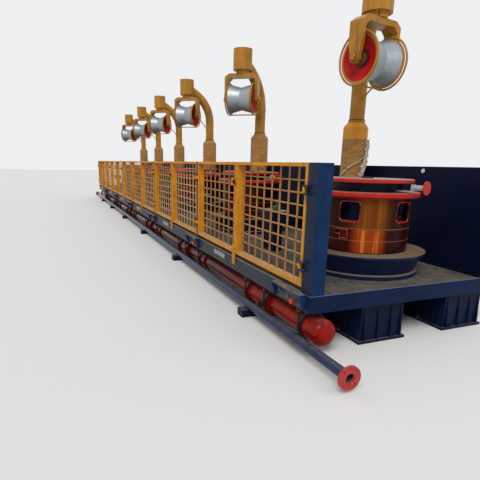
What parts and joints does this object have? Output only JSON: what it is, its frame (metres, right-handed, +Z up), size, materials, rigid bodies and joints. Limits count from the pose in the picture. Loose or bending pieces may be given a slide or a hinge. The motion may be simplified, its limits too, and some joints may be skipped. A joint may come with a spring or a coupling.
{
  "type": "wire drawing machine",
  "caption": "Straight line wire drawing machine: upright drums on a long bed behind a mesh fence of hinged leaves, with swan-neck columns carrying overhead guide pulleys.",
  "frame": {"origin": "middle of the machine's box, on the floor", "axes": "+Z up, +X along the machine towards the end seen in the picture, the fence on the -Y side"},
  "size_m": [18.408, 2.28, 3.38],
  "materials": {
    "dusty_deck": "dusty matt",
    "grey_edge": "satin",
    "machine_blue": "satin",
    "bright_blue": "satin",
    "button_red": "matt",
    "pipe_red": "satin",
    "clamp_grey": "satin",
    "pipe_blue": "satin",
    "base_blue": "satin",
    "column_yellow": "satin",
    "door_yellow": "satin",
    "drum_copper": "varnished gloss",
    "ring_red": "satin",
    "galvanised": "galvanised"
  },
  "bodies": {
    "bed": {"deck_plate": "dusty_deck", "front_beam": "grey_edge", "rear_beam": "machine_blue", "end_beams": "bright_blue", "cross_members": "machine_blue", "front_pedestals": "machine_blue", "rear_pedestals": "machine_blue", "front_feet": "machine_blue", "corner_posts": "bright_blue", "fence_posts": "grey_edge", "control_boxes": "grey_edge", "control_buttons": "button_red", "cooling_header": "pipe_red", "header_clamps": "clamp_grey", "water_pipe": "pipe_blue", "water_flanges": "pipe_red", "block_bases": "base_blue", "rear_housings": "machine_blue", "column_casings": "column_yellow", "swan_necks": "column_yellow", "sleeves": "column_yellow", "yokes": "column_yellow", "guard_rings": "door_yellow", "die_boxes": "machine_blue"},
    "door_right_1": {"door_right_1": "door_yellow"},
    "door_left_1": {"door_left_1": "door_yellow"},
    "door_right_2": {"door_right_2": "door_yellow"},
    "door_left_2": {"door_left_2": "door_yellow"},
    "door_right_3": {"door_right_3": "door_yellow"},
    "door_left_3": {"door_left_3": "door_yellow"},
    "door_right_4": {"door_right_4": "door_yellow"},
    "door_left_4": {"door_left_4": "door_yellow"},
    "door_right_5": {"door_right_5": "door_yellow"},
    "door_left_5": {"door_left_5": "door_yellow"},
    "door_right_6": {"door_right_6": "door_yellow"},
    "door_left_6": {"door_left_6": "door_yellow"},
    "drum_1": {"drum_1": "drum_copper"},
    "takeoff_ring_1": {"takeoff_ring_1": "ring_red"},
    "drum_2": {"drum_2": "drum_copper"},
    "takeoff_ring_2": {"takeoff_ring_2": "ring_red"},
    "drum_3": {"drum_3": "drum_copper"},
    "takeoff_ring_3": {"takeoff_ring_3": "ring_red"},
    "drum_4": {"drum_4": "drum_copper"},
    "takeoff_ring_4": {"takeoff_ring_4": "ring_red"},
    "drum_5": {"drum_5": "drum_copper"},
    "takeoff_ring_5": {"takeoff_ring_5": "ring_red"},
    "drum_6": {"drum_6": "drum_copper"},
    "takeoff_ring_6": {"takeoff_ring_6": "ring_red"},
    "pulley_1": {"pulley_1": "galvanised"},
    "pulley_2": {"pulley_2": "galvanised"},
    "pulley_3": {"pulley_3": "galvanised"},
    "pulley_4": {"pulley_4": "galvanised"},
    "pulley_5": {"pulley_5": "galvanised"},
    "pulley_6": {"pulley_6": "galvanised"}
  },
  "joints": [
    {"name": "door_right_1_hinge", "type": "hinge", "parent": "bed", "child": "door_right_1", "pos_m": [8.432, -1.032, 0.9], "axis": [0, 0, 1], "range_deg": [0, 90]},
    {"name": "door_left_1_hinge", "type": "hinge", "parent": "bed", "child": "door_left_1", "pos_m": [5.64, -1.032, 0.9], "axis": [0, 0, -1], "range_deg": [0, 90]},
    {"name": "door_right_2_hinge", "type": "hinge", "parent": "bed", "child": "door_right_2", "pos_m": [5.56, -1.032, 0.9], "axis": [0, 0, 1], "range_deg": [0, 90]},
    {"name": "door_left_2_hinge", "type": "hinge", "parent": "bed", "child": "door_left_2", "pos_m": [2.84, -1.032, 0.9], "axis": [0, 0, -1], "range_deg": [0, 90]},
    {"name": "door_right_3_hinge", "type": "hinge", "parent": "bed", "child": "door_right_3", "pos_m": [2.76, -1.032, 0.9], "axis": [0, 0, 1], "range_deg": [0, 90]},
    {"name": "door_left_3_hinge", "type": "hinge", "parent": "bed", "child": "door_left_3", "pos_m": [0.04, -1.032, 0.9], "axis": [0, 0, -1], "range_deg": [0, 90]},
    {"name": "door_right_4_hinge", "type": "hinge", "parent": "bed", "child": "door_right_4", "pos_m": [-0.04, -1.032, 0.9], "axis": [0, 0, 1], "range_deg": [0, 90]},
    {"name": "door_left_4_hinge", "type": "hinge", "parent": "bed", "child": "door_left_4", "pos_m": [-2.76, -1.032, 0.9], "axis": [0, 0, -1], "range_deg": [0, 90]},
    {"name": "door_right_5_hinge", "type": "hinge", "parent": "bed", "child": "door_right_5", "pos_m": [-2.84, -1.032, 0.9], "axis": [0, 0, 1], "range_deg": [0, 90]},
    {"name": "door_left_5_hinge", "type": "hinge", "parent": "bed", "child": "door_left_5", "pos_m": [-5.56, -1.032, 0.9], "axis": [0, 0, -1], "range_deg": [0, 90]},
    {"name": "door_right_6_hinge", "type": "hinge", "parent": "bed", "child": "door_right_6", "pos_m": [-5.64, -1.032, 0.9], "axis": [0, 0, 1], "range_deg": [0, 90]},
    {"name": "door_left_6_hinge", "type": "hinge", "parent": "bed", "child": "door_left_6", "pos_m": [-8.432, -1.032, 0.9], "axis": [0, 0, -1], "range_deg": [0, 90]},
    {"name": "drum_1_spin", "type": "hinge", "parent": "bed", "child": "drum_1", "pos_m": [7.843, 0.054, 1], "axis": [0, 0, 1], "continuous": true},
    {"name": "takeoff_ring_1_spin", "type": "hinge", "parent": "bed", "child": "takeoff_ring_1", "pos_m": [7.843, 0.054, 1.4], "axis": [0, 0, 1], "continuous": true},
    {"name": "drum_2_spin", "type": "hinge", "parent": "bed", "child": "drum_2", "pos_m": [5.043, 0.054, 1], "axis": [0, 0, 1], "continuous": true},
    {"name": "takeoff_ring_2_spin", "type": "hinge", "parent": "bed", "child": "takeoff_ring_2", "pos_m": [5.043, 0.054, 1.4], "axis": [0, 0, 1], "continuous": true},
    {"name": "drum_3_spin", "type": "hinge", "parent": "bed", "child": "drum_3", "pos_m": [2.243, 0.054, 1], "axis": [0, 0, 1], "continuous": true},
    {"name": "takeoff_ring_3_spin", "type": "hinge", "parent": "bed", "child": "takeoff_ring_3", "pos_m": [2.243, 0.054, 1.4], "axis": [0, 0, 1], "continuous": true},
    {"name": "drum_4_spin", "type": "hinge", "parent": "bed", "child": "drum_4", "pos_m": [-0.557, 0.054, 1], "axis": [0, 0, 1], "continuous": true},
    {"name": "takeoff_ring_4_spin", "type": "hinge", "parent": "bed", "child": "takeoff_ring_4", "pos_m": [-0.557, 0.054, 1.4], "axis": [0, 0, 1], "continuous": true},
    {"name": "drum_5_spin", "type": "hinge", "parent": "bed", "child": "drum_5", "pos_m": [-3.357, 0.054, 1], "axis": [0, 0, 1], "continuous": true},
    {"name": "takeoff_ring_5_spin", "type": "hinge", "parent": "bed", "child": "takeoff_ring_5", "pos_m": [-3.357, 0.054, 1.4], "axis": [0, 0, 1], "continuous": true},
    {"name": "drum_6_spin", "type": "hinge", "parent": "bed", "child": "drum_6", "pos_m": [-6.157, 0.054, 1], "axis": [0, 0, 1], "continuous": true},
    {"name": "takeoff_ring_6_spin", "type": "hinge", "parent": "bed", "child": "takeoff_ring_6", "pos_m": [-6.157, 0.054, 1.4], "axis": [0, 0, 1], "continuous": true},
    {"name": "pulley_1_spin", "type": "hinge", "parent": "bed", "child": "pulley_1", "pos_m": [7.36022, 0.36724, 2.61], "axis": [-0.1736, 0.9848, 0], "continuous": true},
    {"name": "pulley_2_spin", "type": "hinge", "parent": "bed", "child": "pulley_2", "pos_m": [4.18255, 0.23971, 2.61], "axis": [0.6428, 0.766, 0], "continuous": true},
    {"name": "pulley_3_spin", "type": "hinge", "parent": "bed", "child": "pulley_3", "pos_m": [1.113, 0.17, 2.61], "axis": [0.6691, 0.7431, 0], "continuous": true},
    {"name": "pulley_4_spin", "type": "hinge", "parent": "bed", "child": "pulley_4", "pos_m": [-1.687, 0.17, 2.61], "axis": [0.6691, 0.7431, 0], "continuous": true},
    {"name": "pulley_5_spin", "type": "hinge", "parent": "bed", "child": "pulley_5", "pos_m": [-4.487, 0.17, 2.61], "axis": [0.6691, 0.7431, 0], "continuous": true},
    {"name": "pulley_6_spin", "type": "hinge", "parent": "bed", "child": "pulley_6", "pos_m": [-7.287, 0.17, 2.61], "axis": [0.6691, 0.7431, 0], "continuous": true}
  ]
}
